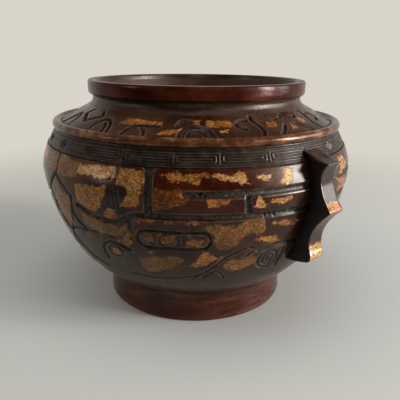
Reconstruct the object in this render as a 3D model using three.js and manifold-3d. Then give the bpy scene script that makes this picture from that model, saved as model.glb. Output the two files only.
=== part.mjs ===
// Bronze bowl with two scalloped flange handles, cast in one piece.
// Millimetres, +Z up. The origin is the middle of the foot ring's underside. The handles stand on
// the X axis, and the mask of the belly's relief looks towards -Y and again towards +Y.
import * as THREE from 'three';
import { mergeVertices } from 'three/addons/utils/BufferGeometryUtils.js';
import Module from 'manifold-3d';

const rad = THREE.MathUtils.degToRad;

// Foot ring
const FOOT_R = 51.5;              // outside, where it stands
const FOOT_TAPER = 0.4;           // how much narrower it is at its top
const FOOT_H = 15.4;              // from the table to the belly
const FOOT_WALL = 5;              // width of the ring that it stands on
const FOOT_EDGE = 0.8;            // bevel along the edge that it stands on
const FOOT_HOLLOW = 13.6;         // depth of the hollow under the bowl

// Belly: a plain band over the foot, the carved field, and the fret band up to the bead
const BELLY_R = 85;               // the widest place
const PLAIN_BAND_H = 15.9;
const FIELD_H = 58.9;
const WIDEST_SHARE = 0.8;         // height of the widest place, as a share of the field's
const FRET_BAND_H = 8.2;
const TOP_DRAW = 7.7;             // how far the belly draws in from its widest place to the bead
const LOW_PULL = 28.8;            // how far the belly's lower curve keeps its first direction
const LOW_RISE = 26.5;            // that direction, in degrees above level
const WAIST_PULL = 8.6;           // how far it runs upright below the widest place
const UPPER_PULL = 4.5;           // and above it
const CREST_PULL = 7;             // how far the upper curve keeps its last direction
const CREST_FALL = 56.5;          // that direction, in degrees above level

// Bead, shoulder, neck and rim band
const BEAD_R = 2.2;               // half the thickness of the round bead
const BEAD_OUT = 1.1;             // how far the bead stands out past the belly's top
const BEAD_FROM = rad(-50);       // the bead's round leaves the belly's top here
const BEAD_TO = rad(125);         // and meets the shoulder here
const BEAD_GAP = 3.2;             // height that the bead takes between belly and shoulder
const BEAD_SEAT = 4.4;            // how far the shoulder starts inside the belly's top
const SHOULDER_RUN = 13.5;        // inward length of the sloping shoulder
const SHOULDER_RISE = 7.1;
const NECK_DRAW = 2.8;            // how far the neck draws in above the shoulder
const NECK_H = 5.7;
const RIM_OUT = 2.6;              // how far the rim band stands out past the neck
const RIM_H = 7.1;
const RIM_TUCK = 1.1;             // how far the band's lower edge draws in

// Wall, lip and hollow
const WALL = 3.6;
const SHOULDER_WALL = 4.3;
const LIP_W = 4.7;                // width of the lip's flat top with its two rounded edges
const LIP_EDGE = 0.9;             // rounding of those edges
const FLOOR_T = 4.4;              // bronze under the floor of the hollow

// Relief: raised panels between two plain bands, and the channels and lines cut in them
const RELIEF = 0.9;               // how far the panels stand out of the plain bands
const MASK_TURN = -1.7;           // the mask's middle line sits this many degrees off the true front
const CHANNEL_W = 2.4;
const CHANNEL_DEPTH = 1.3;
const GROOVE_W = 1.5;
const LINE_W = 1;
const LINE_DEPTH = 0.8;
const SHARPEST = 0.6;             // the sharper a corner, the wider a cut gets there, up to 1 / 0.6

// Fret band under the bead
const FRET_UNITS = 24;
const FRET_LOW = 0.28;            // the units' lower and upper edges, as shares of the band's height
const FRET_TOP = 0.78;
const FRET_BAR = 1.4;             // height of the long hollow in each unit
const FRET_GAP = 0.1;             // space at each end of that hollow, as a share of a unit
const FRET_START = 0.8;           // where the first unit starts, in units from the front

// Scalloped flange handles: heights from the field's edges, reach from the belly's widest place
const HANDLE_T = 10.6;            // thickness
const HANDLE_OVER = 4.8;          // its root starts this far above the carved field
const HANDLE_UNDER = 8.7;         // and ends this far above the field's lower edge
const HANDLE_SLOPE = 4.4;         // fall of its top face
const CUSP_OUT = 11;              // reach of the middle cusp
const TOP_CUSP_OUT = 7.2;
const LOBE_OUT = 2.8;             // reach of the rounded lobe at the bottom
const LOBE_ROUND = 4.4;           // width of its rounding
const LOBE_RISE = 6.2;            // height of its rounding
const CUSP_TIP = 1.1;             // height of the middle cusp's blunt tip
const CUSP_SHARE = 0.545;         // height of that cusp, as a share of the handle's
const UPPER_SCOOP = 4.7;          // depth of the scoops
const LOWER_SCOOP = 5.1;

// Facets
const SIDES = 36;                 // flat sides around the body
const CURVE_STEPS = 200;          // fine steps along the belly's two curves, read by height

// Heights and radii that follow from the sizes above
const FIELD_LOW_Z = FOOT_H + PLAIN_BAND_H;
const FIELD_TOP_Z = FIELD_LOW_Z + FIELD_H;
const BELLY_Z = FIELD_LOW_Z + WIDEST_SHARE * FIELD_H;
const BELLY_TOP_Z = FIELD_TOP_Z + FRET_BAND_H;
const SHOULDER_Z = BELLY_TOP_Z + BEAD_GAP;
const NECK_FOOT_Z = SHOULDER_Z + SHOULDER_RISE;
const RIM_Z = NECK_FOOT_Z + NECK_H;
const HEIGHT = RIM_Z + RIM_H;
const BELLY_TOP_R = BELLY_R - TOP_DRAW;
const SHOULDER_R = BELLY_TOP_R - BEAD_SEAT;
const NECK_FOOT_R = SHOULDER_R - SHOULDER_RUN;
const NECK_R = NECK_FOOT_R - NECK_DRAW;
const RIM_R = NECK_R + RIM_OUT;
const SHOULDER_LENGTH = Math.hypot(SHOULDER_RUN, SHOULDER_RISE);
const CUTTER_PROUD = BELLY_R / 70;  // a cutter stands out of the wall it carves, past its bend

const at = (r, z) => new THREE.Vector2(r, z);
const wasm = await Module();
wasm.setup();

// The belly's outline, as the two curves give it, at the height of the raised panels.
function bellyCurve() {
  const start = at(FOOT_R - FOOT_TAPER, FOOT_H);
  const low = new THREE.Vector2(LOW_PULL, 0).rotateAround(at(0, 0), rad(LOW_RISE));
  const end = at(BELLY_TOP_R, BELLY_TOP_Z);
  const top = new THREE.Vector2(CREST_PULL, 0).rotateAround(at(0, 0), rad(-CREST_FALL));
  const widest = at(BELLY_R, BELLY_Z);
  const below = at(BELLY_R, BELLY_Z - WAIST_PULL);
  const over = at(BELLY_R, BELLY_Z + UPPER_PULL);
  const lower = new THREE.CubicBezierCurve(start, low.add(start), below, widest);
  const upper = new THREE.CubicBezierCurve(widest, over, top.add(end), end);
  return [...lower.getPoints(CURVE_STEPS), ...upper.getPoints(CURVE_STEPS).slice(1)];
}
const belly = bellyCurve();

// The point of the belly at a height, moved out of the wall by `out`, square to it.
function bellyPoint(z, out) {
  const above = belly.slice(0, -1).findIndex((p) => p.y > z);
  const i = above < 0 ? belly.length - 2 : Math.max(0, above - 1);
  const from = belly[i];
  const step = belly[i + 1].clone().sub(from);
  const share = (z - from.y) / step.y;
  const normal = at(step.y, -step.x).normalize();
  return from.clone().addScaledVector(step, share).addScaledVector(normal, out);
}

// The point of the sloping shoulder `along` millimetres above the bead, moved out by `out`.
function shoulderPoint(along, out) {
  const foot = at(SHOULDER_R, SHOULDER_Z);
  const slope = at(NECK_FOOT_R, NECK_FOOT_Z).sub(foot).normalize();
  const normal = at(slope.y, -slope.x);
  return foot.addScaledVector(slope, along).addScaledVector(normal, out);
}

// Heights from `low` to `high` in equal steps, both ends included.
function heights(low, high, steps) {
  return Array.from({ length: steps + 1 }, (_, i) => low + ((high - low) * i) / steps);
}

// The whole outline of the body, from the axis under the floor, round the foot, up the outside,
// over the lip and down the hollow to the axis again.
function bodyOutline() {
  const footTop = FOOT_R - FOOT_TAPER;
  const under = [at(0, FOOT_HOLLOW), at(FOOT_R - FOOT_WALL, FOOT_HOLLOW), at(FOOT_R - FOOT_WALL, 0),
    at(FOOT_R - FOOT_EDGE, 0), at(FOOT_R, FOOT_EDGE), at(footTop, FOOT_H - FOOT_EDGE)];
  const plain = heights(FOOT_H + FOOT_EDGE, FIELD_LOW_Z, 2).map((z) => bellyPoint(z, -RELIEF));
  const field = [...heights(FIELD_LOW_Z, BELLY_Z, 5), ...heights(BELLY_Z, FIELD_TOP_Z, 2).slice(1)]
    .map((z) => bellyPoint(z, 0));
  const band = heights(FIELD_TOP_Z, BELLY_TOP_Z, 1).map((z) => bellyPoint(z, -RELIEF));
  const bead = beadOutline();
  const slope = at(NECK_FOOT_R, NECK_FOOT_Z);
  const bend = at(NECK_R, NECK_FOOT_Z + NECK_DRAW / 2);
  const narrow = at(NECK_R, RIM_Z - RIM_TUCK);
  const neck = new THREE.QuadraticBezierCurve(slope, bend, narrow).getPoints(2);
  const rim = [at(RIM_R - RIM_TUCK, RIM_Z), at(RIM_R, RIM_Z + RIM_TUCK * 2),
    at(RIM_R, HEIGHT - LIP_EDGE), at(RIM_R - LIP_EDGE, HEIGHT),
    at(RIM_R - LIP_W + LIP_EDGE, HEIGHT), at(RIM_R - LIP_W, HEIGHT - LIP_EDGE)];
  return [...under, ...plain, ...field, ...band, ...bead, ...neck, ...rim, ...hollowOutline()];
}

// The bead is round in section and stands out between the belly's top and the shoulder.
function beadOutline() {
  const middle = at(BELLY_TOP_R - BEAD_R + BEAD_OUT, (BELLY_TOP_Z + SHOULDER_Z) / 2);
  const arc = new THREE.EllipseCurve(middle.x, middle.y, BEAD_R, BEAD_R, BEAD_FROM, BEAD_TO);
  return [...arc.getPoints(3), at(SHOULDER_R, SHOULDER_Z)];
}

// The hollow follows the belly and the shoulder one wall further in, down to a flat floor.
function hollowOutline() {
  const floorZ = FOOT_HOLLOW + FLOOR_T;
  const neckIn = NECK_R - WALL;
  const wall = heights(BELLY_TOP_Z - WALL, floorZ + WALL, 4).map((z) => bellyPoint(z, -RELIEF - WALL));
  const slope = [SHOULDER_LENGTH, WALL].map((along) => shoulderPoint(along, -SHOULDER_WALL));
  const floorR = wall.at(-1).x - WALL;
  return [at(neckIn, RIM_Z - RIM_TUCK), ...slope, ...wall, at(floorR, floorZ), at(0, floorZ)];
}

// A closed body of a geometry whose shared corners are merged, for joining and cutting.
function solid(geometry) {
  const bare = geometry.clone();
  bare.deleteAttribute('normal');
  bare.deleteAttribute('uv');
  const merged = mergeVertices(bare, 1e-4);
  const corners = merged.index.array;
  const whole = [];
  for (let i = 0; i < corners.length; i += 3) {
    const [a, b, c] = corners.slice(i, i + 3);
    if (a !== b && b !== c && c !== a) whole.push(a, b, c);
  }
  const vertProperties = Float32Array.from(merged.attributes.position.array);
  return new wasm.Manifold(new wasm.Mesh({ numProp: 3, vertProperties, triVerts: Uint32Array.from(whole) }));
}

// A geometry of a body, flat-shaded, for its mesh.
function geometryOf(body) {
  const mesh = body.getMesh();
  const geometry = new THREE.BufferGeometry();
  geometry.setAttribute('position', new THREE.BufferAttribute(Float32Array.from(mesh.vertProperties), 3));
  geometry.setIndex(new THREE.BufferAttribute(Uint32Array.from(mesh.triVerts), 1));
  geometry.computeVertexNormals();
  return geometry;
}

// The body of revolution, its axis turned up to +Z.
function bodySolid() {
  return solid(new THREE.LatheGeometry(bodyOutline(), SIDES).rotateX(Math.PI / 2));
}

// The carving is drawn on flat sheets: x runs round the bowl in degrees from the mask's middle line
// (0) to the middle of the handle (90), y runs up the wall as a share of the sheet's height.
const bellySheet = {
  radius: BELLY_R,
  height: FIELD_TOP_Z - FIELD_LOW_Z,
  wall: (up, out) => bellyPoint(FIELD_LOW_Z + up, out),
};
const fretSheet = {
  radius: BELLY_TOP_R,
  height: BELLY_TOP_Z - FIELD_TOP_Z,
  wall: (up, out) => bellyPoint(FIELD_TOP_Z + up, out - RELIEF),
};
const shoulderSheet = {
  radius: (SHOULDER_R + NECK_FOOT_R) / 2,
  height: SHOULDER_LENGTH,
  wall: shoulderPoint,
};

// A cutter for one line: a bar with a step between each two points of the line, bent on to the wall.
// It reaches into the wall and stands out of it. A channel's cutter has a flat floor, that of a thin
// line is a V, drawn so that the cut has the line's width. A closed line has no end faces.
function cutter(sheet, line, widths, depth, closed = false) {
  const last = line.length - 1;
  const bar = new THREE.BoxGeometry(1, 1, 1, last, 1, 1);
  const place = bar.attributes.position;
  const vee = depth < CHANNEL_DEPTH;
  const flare = vee ? (depth + CUTTER_PROUD) / depth : 1;
  for (let k = 0; k < place.count; k += 1) {
    const i = Math.round((place.getX(k) + 0.5) * last);
    const outside = place.getZ(k) > 0;
    const width = (Array.isArray(widths) ? widths[i] : widths) * (outside ? flare : Number(!vee));
    const flat = line[i].clone().addScaledVector(miter(line, i, closed), width * place.getY(k));
    const point = sheet.wall(flat.y, outside ? CUTTER_PROUD : -depth);
    const turn = flat.x / sheet.radius;
    place.setXYZ(k, point.x * Math.sin(turn), -point.x * Math.cos(turn), point.y);
  }
  if (closed) bar.setIndex([...bar.index.array.slice(bar.groups[2].start)]);
  return solid(bar);
}

// The direction square to a line at its point i, as long as keeps the bar's width round a corner.
function miter(line, i, closed) {
  const last = line.length - 1;
  const before = line[i > 0 ? i - 1 : last - 1];
  const after = line[i < last ? i + 1 : 1];
  const into = line[i].clone().sub(before).normalize();
  const away = after.clone().sub(line[i]).normalize();
  if (!closed && i === 0) into.copy(away);
  if (!closed && i === last) away.copy(into);
  const along = into.clone().add(away).normalize();
  const side = at(-along.y, along.x);
  return side.divideScalar(Math.max(SHARPEST, side.dot(at(-into.y, into.x))));
}

// Lines of a sheet, drawn as [degrees from the mask's middle, share of the height] pairs: a line
// through its points, a closed ring, and a smooth curve near its points.
const open = (points, widths, depth) => ({ points, widths, depth });
const ring = (middle, reach, steps, widths, depth) => {
  const points = Array.from({ length: steps + 1 }, (_, i) => {
    const turn = (2 * Math.PI * (i % steps)) / steps;
    return [middle[0] + reach[0] * Math.cos(turn), middle[1] + reach[1] * Math.sin(turn)];
  });
  return { points, widths, depth, closed: true };
};
const smooth = (points, steps, widths, depth) => {
  const curve = new THREE.SplineCurve(points.map(([x, y]) => at(x, y * 100)));
  return open(curve.getPoints(steps).map((p) => [p.x, p.y / 100]), widths, depth);
};

// A spiral that opens out from its middle by equal steps.
function spiral(middle, reach, turns, stepsPerTurn, widths, depth) {
  const count = turns * stepsPerTurn;
  const points = Array.from({ length: count }, (_, i) => {
    const turn = (2 * Math.PI * (i + 1)) / stepsPerTurn;
    const share = (i + 1) / count;
    return [middle[0] + reach[0] * share * Math.cos(turn), middle[1] + reach[1] * share * Math.sin(turn)];
  });
  return open(points, widths, depth);
}

// One quarter of the belly's relief: half a mask, from its crest to the handle.
const LEAF = [[0, 0.844], [7.9, 0.691], [5.7, 0.55], [3.6, 0.43], [0, 0.343]];
const LEAF_HALO = [[7.9, 0.691], [7.2, 0.55], [11.8, 0.418], [0, 0.343]];
const bellyLines = [
  open(LEAF, GROOVE_W, LINE_DEPTH),
  open(LEAF_HALO, GROOVE_W, LINE_DEPTH),
  open([[3.3, 0.818], [10.3, 0.775]], [LINE_W, 3 * CHANNEL_W], CHANNEL_DEPTH),
  smooth([[0, 0.34], [6, 0.13], [14, 0.06]], 3, GROOVE_W, LINE_DEPTH),
  open([[36.8, 1.02], [36.8, 0.83], [36.8, 0.66]], 1.2 * CHANNEL_W, CHANNEL_DEPTH),
  open([46.4, 53.6, 61, 68.2, 75.4, 82.7, 90].map((x) => [x, 0.829]), CHANNEL_W, CHANNEL_DEPTH),
  open([[64.6, 0.81], [65.6, 0.67]], [GROOVE_W, CHANNEL_W], CHANNEL_DEPTH),
  open([37, 46, 55, 64, 73, 82, 90].map((x) => [x, 0.65]), CHANNEL_W, CHANNEL_DEPTH),
  smooth([[37, 0.65], [30.5, 0.62], [25.2, 0.565], [20.5, 0.56], [11, 0.63]], 4, CHANNEL_W, CHANNEL_DEPTH),
  open([[30.2, 0.6], [30.2, 0.44]], CHANNEL_W, CHANNEL_DEPTH),
  smooth([[17.1, 0.19], [16.8, 0.27], [19, 0.345], [24, 0.365], [29, 0.31]], 4, GROOVE_W, LINE_DEPTH),
  ring([43.5, 0.454], [11, 0.075], 8, GROOVE_W, LINE_DEPTH),
  ring([42.3, 0.454], [3, 0.055], 6, LINE_W, LINE_DEPTH),
  spiral([76.2, 0.23], [5, 0.105], 2, 6, LINE_W, LINE_DEPTH),
  open([[71.4, 0.345], [78, 0.358], [90, 0.34]], CHANNEL_W, CHANNEL_DEPTH),
];

// Drawn once on each mask: the line from the crest's tip up to the fret band.
const noseLine = open([[0, 0.86], [0, 1.02]], GROOVE_W, LINE_DEPTH);

// One quarter of the shoulder: half a chevron over the mask, arches, curls and hooks.
const shoulderLines = [
  open([[0, 0.35], [7.1, 0.71], [4.8, 0.92]], GROOVE_W, LINE_DEPTH),
  open([[8, 0.05], [9.5, 0.58], [13, 0.62], [17.2, 0.05]], GROOVE_W, LINE_DEPTH),
  open([[23.4, 0.05], [27, 0.45], [36.5, 0.46]], GROOVE_W, LINE_DEPTH),
  open([[44.4, 0.05], [46.5, 0.42], [52.5, 0.42], [56.2, 0.05]], GROOVE_W, LINE_DEPTH),
  open([[70, 0.78], [65.6, 0.62], [68.6, 0.34]], GROOVE_W, LINE_DEPTH),
  open([[73.5, 0.95], [74.7, 0.5], [74.2, 0.05]], GROOVE_W, LINE_DEPTH),
  open([[86.8, 0.41], [81.8, 0.04]], GROOVE_W, LINE_DEPTH),
];

// One cutter for a line of a quarter: `side` 1 or -1 mirrors it about the mask's middle line, and
// `back` turns it to the other mask. A quarter always ends at the middle of its handle.
function quarterCutter(sheet, { points, widths, depth, closed }, side, back) {
  const stretch = (90 - side * MASK_TURN) / 90;
  const line = points.map(([degrees, share]) => {
    const turn = rad(back + MASK_TURN + side * degrees * stretch);
    return at(turn * sheet.radius, share * sheet.height);
  });
  return cutter(sheet, line, widths, depth, closed);
}

// The fret band: an upright stroke between each two units, and one long hollow in each unit.
function fretCutters() {
  const pitch = 360 / FRET_UNITS;
  const low = FRET_LOW * fretSheet.height;
  const top = FRET_TOP * fretSheet.height;
  const across = (degrees) => rad(degrees) * fretSheet.radius;
  return Array.from({ length: FRET_UNITS }, (_, unit) => {
    const start = (unit + FRET_START) * pitch;
    const middle = (low + top) / 2;
    const stroke = [at(across(start), low), at(across(start), top)];
    const bar = [FRET_GAP, 1 - FRET_GAP].map((share) => at(across(start + share * pitch), middle));
    return [cutter(fretSheet, stroke, LINE_W, LINE_DEPTH), cutter(fretSheet, bar, FRET_BAR, LINE_DEPTH)];
  }).flat();
}

// A flange handle: a thick plate with a sloping top, three cusps and two scoops. Its inner edge
// lies in the middle of the bowl's wall, so it joins the wall and leaves the hollow clear.
function handleSolid(turn) {
  const topZ = FIELD_TOP_Z + HANDLE_OVER;
  const lowZ = FIELD_LOW_Z + HANDLE_UNDER;
  const cuspZ = lowZ + CUSP_SHARE * (topZ - lowZ);
  const root = heights(topZ, lowZ, 6).map((z) => bellyPoint(z, -RELIEF - WALL / 2));
  const topCusp = at(BELLY_R + TOP_CUSP_OUT, topZ - HANDLE_SLOPE);
  const cusp = at(BELLY_R + CUSP_OUT, cuspZ);
  const lobe = at(BELLY_R + LOBE_OUT, lowZ + LOBE_RISE);
  const edge = new THREE.Path().moveTo(topCusp.x, topCusp.y);
  scoop(edge, topCusp, cusp, UPPER_SCOOP);
  edge.lineTo(cusp.x - CUSP_TIP / 2, cusp.y - CUSP_TIP);
  scoop(edge, at(cusp.x - CUSP_TIP / 2, cusp.y - CUSP_TIP), lobe, LOWER_SCOOP);
  edge.quadraticCurveTo(lobe.x, lowZ + CUSP_TIP, lobe.x - LOBE_ROUND, lowZ + CUSP_TIP);
  const plate = new THREE.Shape([...root, ...edge.getPoints(6).reverse()]);
  const geometry = new THREE.ExtrudeGeometry(plate, { depth: HANDLE_T, bevelEnabled: false });
  geometry.translate(0, 0, -HANDLE_T / 2).rotateX(Math.PI / 2).rotateZ(turn);
  return solid(geometry);
}

// A scoop: the edge runs on from one cusp to the next, hollowed by `depth` at its middle.
function scoop(edge, from, to, depth) {
  const middle = from.clone().lerp(to, 0.5);
  edge.quadraticCurveTo(middle.x - 2 * depth, middle.y, to.x, to.y);
}

// The whole bowl: the body, less the carving, with the handles joined on.
function bowlSolid() {
  let body = bodySolid();
  for (const back of [0, 180]) {
    body = body.subtract(quarterCutter(bellySheet, noseLine, 1, back));
    for (const side of [1, -1]) {
      for (const line of bellyLines) body = body.subtract(quarterCutter(bellySheet, line, side, back));
      for (const line of shoulderLines) body = body.subtract(quarterCutter(shoulderSheet, line, side, back));
    }
  }
  for (const tool of fretCutters()) body = body.subtract(tool);
  return body.add(handleSolid(0)).add(handleSolid(Math.PI));
}

const bronze = new THREE.MeshStandardMaterial({ color: 0x4b2a1c, roughness: 0.45, metalness: 0.6 });
const bowl = new THREE.Mesh(geometryOf(bowlSolid()), bronze);
bowl.name = 'bowl';

const group = new THREE.Group();
group.add(bowl);
export default group;
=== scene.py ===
# %% [markdown]
# # A cast bronze bowl with worn gilding
#
# This lesson dresses a bowl that was built in CAD: a round belly on a foot ring, a bead, a sloping
# shoulder, an upright rim and two scalloped handles. The CAD solid holds the true outline and the
# main carving. Here the same outline is worked out again on a much finer grid, so that the shallow
# cast relief, the fret band and the surface itself can be real geometry, and the patina and the gold
# are painted by materials that read numbers stored on the mesh. The real bowl is one casting. Here it
# is four closed meshes, because a single one would have more triangles than a piece may have.

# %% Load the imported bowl
import math

import bpy
import numpy as np
from mathutils import Matrix, Vector


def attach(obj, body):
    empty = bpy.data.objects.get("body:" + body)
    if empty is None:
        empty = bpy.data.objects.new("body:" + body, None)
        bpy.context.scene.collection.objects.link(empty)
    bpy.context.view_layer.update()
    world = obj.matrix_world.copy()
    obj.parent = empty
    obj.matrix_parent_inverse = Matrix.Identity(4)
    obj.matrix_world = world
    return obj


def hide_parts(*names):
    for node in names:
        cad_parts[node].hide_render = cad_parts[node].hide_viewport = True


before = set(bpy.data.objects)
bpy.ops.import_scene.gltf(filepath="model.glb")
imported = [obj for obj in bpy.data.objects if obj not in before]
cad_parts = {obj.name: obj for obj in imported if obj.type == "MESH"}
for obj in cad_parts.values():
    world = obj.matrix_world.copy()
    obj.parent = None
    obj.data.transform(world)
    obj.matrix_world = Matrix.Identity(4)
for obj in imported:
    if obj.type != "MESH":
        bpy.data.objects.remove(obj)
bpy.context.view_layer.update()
scene = bpy.context.scene

# %% [markdown]
# ## Camera
#
# The camera comes first, because every later choice is judged through it. The rings of the rim, the
# bead and the foot are circles, and how much each flattens in the picture gives the height and the
# pitch of the lens. It stands about 26 cm from the bowl's axis and 49 degrees round from the mask of
# the relief, so that the mask is at the left limb and one handle at the right. A matrix holds it: a
# turn about Z, then a tilt, then a slight roll, because the picture was taken by hand.

# %% The camera
FOCAL_LENGTH, SENSOR_WIDTH = 41.4, 36  # millimetres
CAMERA_TURN = math.radians(49)
CAMERA_PITCH = math.radians(17.92)
CAMERA_ROLL = math.radians(0.6)
CAMERA_PLACE = (0.2003, -0.1709, 0.136)

camera_data = bpy.data.cameras.new("camera")
camera_data.sensor_width = SENSOR_WIDTH
camera_data.lens = FOCAL_LENGTH
camera_data.clip_start = 0.01  # a centimetre, because the bowl is near
camera = bpy.data.objects.new("camera", camera_data)
scene.collection.objects.link(camera)
camera.matrix_world = (
    Matrix.Translation(CAMERA_PLACE)
    @ Matrix.Rotation(CAMERA_TURN, 4, "Z")
    @ Matrix.Rotation(math.pi / 2 - CAMERA_PITCH, 4, "X")
    @ Matrix.Rotation(CAMERA_ROLL, 4, "Z")
)
scene.camera = camera
print("camera at", CAMERA_PLACE, "with a lens of", FOCAL_LENGTH, "mm")

# %% [markdown]
# ## The outline
#
# A bowl is a body of revolution, so it starts as one curve in radius and height. A lathe could turn
# it, but here each point of the curve also keeps the direction that is square to the wall, because
# the relief is pushed in and out along that direction. All sizes are millimetres and become metres
# only when a mesh is made.

# %% Sizes, and the belly's two curves
MM = 0.001
FOOT_R, FOOT_TAPER, FOOT_H, FOOT_WALL = 51.4, 0.4, 15.4, 5.0
FOOT_HOLLOW, FLOOR_T = 13.6, 4.4
BELLY_R, BELLY_Z = 84.88, 78.42
BELLY_TOP_R, BELLY_TOP_Z = 77.3, 98.4
FIELD_LOW_Z, FIELD_TOP_Z = 31.3, 90.2
SHOULDER_R, SHOULDER_Z = 72.9, 101.6
NECK_FOOT_R, NECK_FOOT_Z = 59.4, 108.7
NECK_R, RIM_R, RIM_Z, HEIGHT = 56.6, 59.15, 114.4, 121.5
WALL, LIP_W = 3.6, 4.7
RELIEF = 0.9  # how far the carved field stands out of the plain bands
LOW_RISE, LOW_PULL = 26.5, 28.8  # the lower curve's first direction in degrees, and how far it keeps it
WAIST_PULL, UPPER_PULL = 8.6, 4.5  # how far the wall runs upright below and above its widest place
CREST_FALL, CREST_PULL = 56.5, 7  # the upper curve's last direction, and how far it keeps that


def bezier(corners, steps):
    """A cubic Bezier curve: the four corners weighted by the four terms of (1 - t + t) cubed."""
    t = np.linspace(0, 1, steps)[:, None]
    a, b, c, d = (np.array(corner, float) for corner in corners)
    return a * (1 - t) ** 3 + 3 * b * t * (1 - t) ** 2 + 3 * c * t**2 * (1 - t) + d * t**3


def heading(degrees, length):
    """A step of a given length, turned this many degrees above level."""
    return length * np.array([math.cos(math.radians(degrees)), math.sin(math.radians(degrees))])


belly_low = np.array([FOOT_R - FOOT_TAPER, FOOT_H])
belly_top = np.array([BELLY_TOP_R, BELLY_TOP_Z])
lower = bezier([belly_low, belly_low + heading(LOW_RISE, LOW_PULL),
                (BELLY_R, BELLY_Z - WAIST_PULL), (BELLY_R, BELLY_Z)], 600)
upper = bezier([(BELLY_R, BELLY_Z), (BELLY_R, BELLY_Z + UPPER_PULL),
                belly_top + heading(-CREST_FALL, CREST_PULL), belly_top], 300)
belly_curve = np.vstack([lower, upper[1:]])
belly_arc = np.concatenate([[0], np.cumsum(np.linalg.norm(np.diff(belly_curve, axis=0), axis=1))])
slope = np.gradient(belly_curve, axis=0)
slope /= np.linalg.norm(slope, axis=1)[:, None]
print("belly: %.1f mm along the wall" % belly_arc[-1])


def belly_rows(heights, out=0.0):
    """Points of the belly at some heights, moved out of the wall by `out`, and the wall's normals.
    Each row is radius, height, radial part of the normal, upright part of the normal."""
    pick = [np.interp(heights, belly_curve[:, 1], column) for column in
            (belly_curve[:, 0], belly_curve[:, 1], slope[:, 1], -slope[:, 0])]
    rows = np.stack(pick, axis=1)
    rows[:, :2] += np.reshape(out, (-1, 1)) * rows[:, 2:]
    return rows


def arc_at(height):
    """How far along the wall from the foot a height is."""
    return np.interp(height, belly_curve[:, 1], belly_arc)


def height_at(arc):
    """The height that lies this far along the wall from the foot."""
    return np.interp(arc, belly_arc, belly_curve[:, 1])


# %% [markdown]
# ## Drawing on the wall
#
# The relief is drawn on the unrolled wall: degrees round the bowl across, and distance along the
# wall upwards. A groove is everything that lies within half a width of a line, so each line becomes
# a distance field: for every grid point, how far the nearest part of the line is. That needs no
# mesh cutting, it gives soft cast edges, and the same distances can paint the patina later. Both
# halves of each mask are alike, so the angle is folded: it counts from the mask's middle line out
# to the handle on either side, front and back.

# %% Folding the angle, and distances to lines and to patches
MASK_TURN = -1.7  # the mask's middle line, degrees off the true front
TINY = 1e-9  # keeps a division from meeting zero


def folded(degrees):
    """The angle as the right front quarter has it, from the mask's middle (-1.7) to the handle (90).
    The left half is mirrored about the middle line and stretched to end at its handle."""
    away = (np.asarray(degrees) + 90) % 180 - 90 - MASK_TURN
    mirrored = -away * (90 - MASK_TURN) / (90 + MASK_TURN)
    return MASK_TURN + np.where(away >= 0, away, mirrored)


def near(sheet, points, margin):
    """Which rows and columns of a sheet come within a margin of a drawing, to skip the others."""
    across, up = points[:, 0], points[:, 1]
    wide = margin / sheet["scale"].min()
    rows = (sheet["up"] > up.min() - margin) & (sheet["up"] < up.max() + margin)
    columns = (sheet["across"] > across.min() - wide) & (sheet["across"] < across.max() + wide)
    return np.ix_(np.flatnonzero(rows), np.flatnonzero(columns))


def to_segment(sheet, area, start, end):
    """Distance in millimetres from each grid point to a straight stroke, and the share along it.
    The share is the point's projection on the stroke, held between 0 and 1."""
    rows, columns = area
    scale = sheet["scale"][rows[:, 0]]
    x = (sheet["across"][columns] - start[0]) * scale
    y = sheet["up"][rows] - start[1] + 0 * x
    ex, ey = (end[0] - start[0]) * scale, end[1] - start[1]
    share = np.clip((x * ex + y * ey) / np.maximum(ex * ex + ey * ey, TINY), 0, 1)
    return np.hypot(x - share * ex, y - share * ey), share


def to_line(sheet, area, points, widths):
    """Distance past the edge of a line: the distance to its nearest stroke less half its width."""
    widths = np.broadcast_to(widths, len(points))
    nearest = None
    for k in range(len(points) - 1):
        gap, share = to_segment(sheet, area, points[k], points[k + 1])
        gap = gap - (widths[k] + (widths[k + 1] - widths[k]) * share) / 2
        nearest = gap if nearest is None else np.minimum(nearest, gap)
    return nearest


def inside(sheet, area, points):
    """True where a grid point lies in a closed patch: a ray to the right crosses its edge an odd
    number of times."""
    rows, columns = area
    x, y = sheet["across"][columns], sheet["up"][rows]
    odd = np.zeros((rows.size, columns.size), bool)
    for (x0, y0), (x1, y1) in zip(points, np.roll(points, -1, axis=0)):
        spans = (y0 > y) != (y1 > y)
        cross = x0 + (y - y0) * (x1 - x0) / (y1 - y0 if y1 != y0 else TINY)
        odd ^= spans & (x < cross)
    return odd


def patch_depth(sheet, area, points):
    """Signed distance to a patch's edge: positive inside it, negative outside."""
    edge = to_line(sheet, area, np.vstack([points, points[:1]]), 0)
    return np.where(inside(sheet, area, points), edge, -edge)


def smooth(points, steps=6):
    """A Catmull-Rom curve through the points: each piece leaves along the line of its neighbours."""
    p = np.array(points, float)
    p = np.vstack([2 * p[0] - p[1], p, 2 * p[-1] - p[-2]])
    t = np.linspace(0, 1, steps, endpoint=False)[:, None]
    pieces = [
        0.5 * (2 * b + (c - a) * t + (2 * a - 5 * b + 4 * c - d) * t**2 + (3 * b - a - 3 * c + d) * t**3)
        for a, b, c, d in zip(p, p[1:], p[2:], p[3:])
    ]
    return np.vstack([*pieces, p[-2:-1]])


def oval(middle, reach, steps=28):
    """A closed ring: middle plus reach times cosine and sine."""
    turn = np.linspace(0, 2 * math.pi, steps + 1)[:, None]
    return np.array(middle) + np.array(reach) * np.hstack([np.cos(turn), np.sin(turn)])


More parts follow.
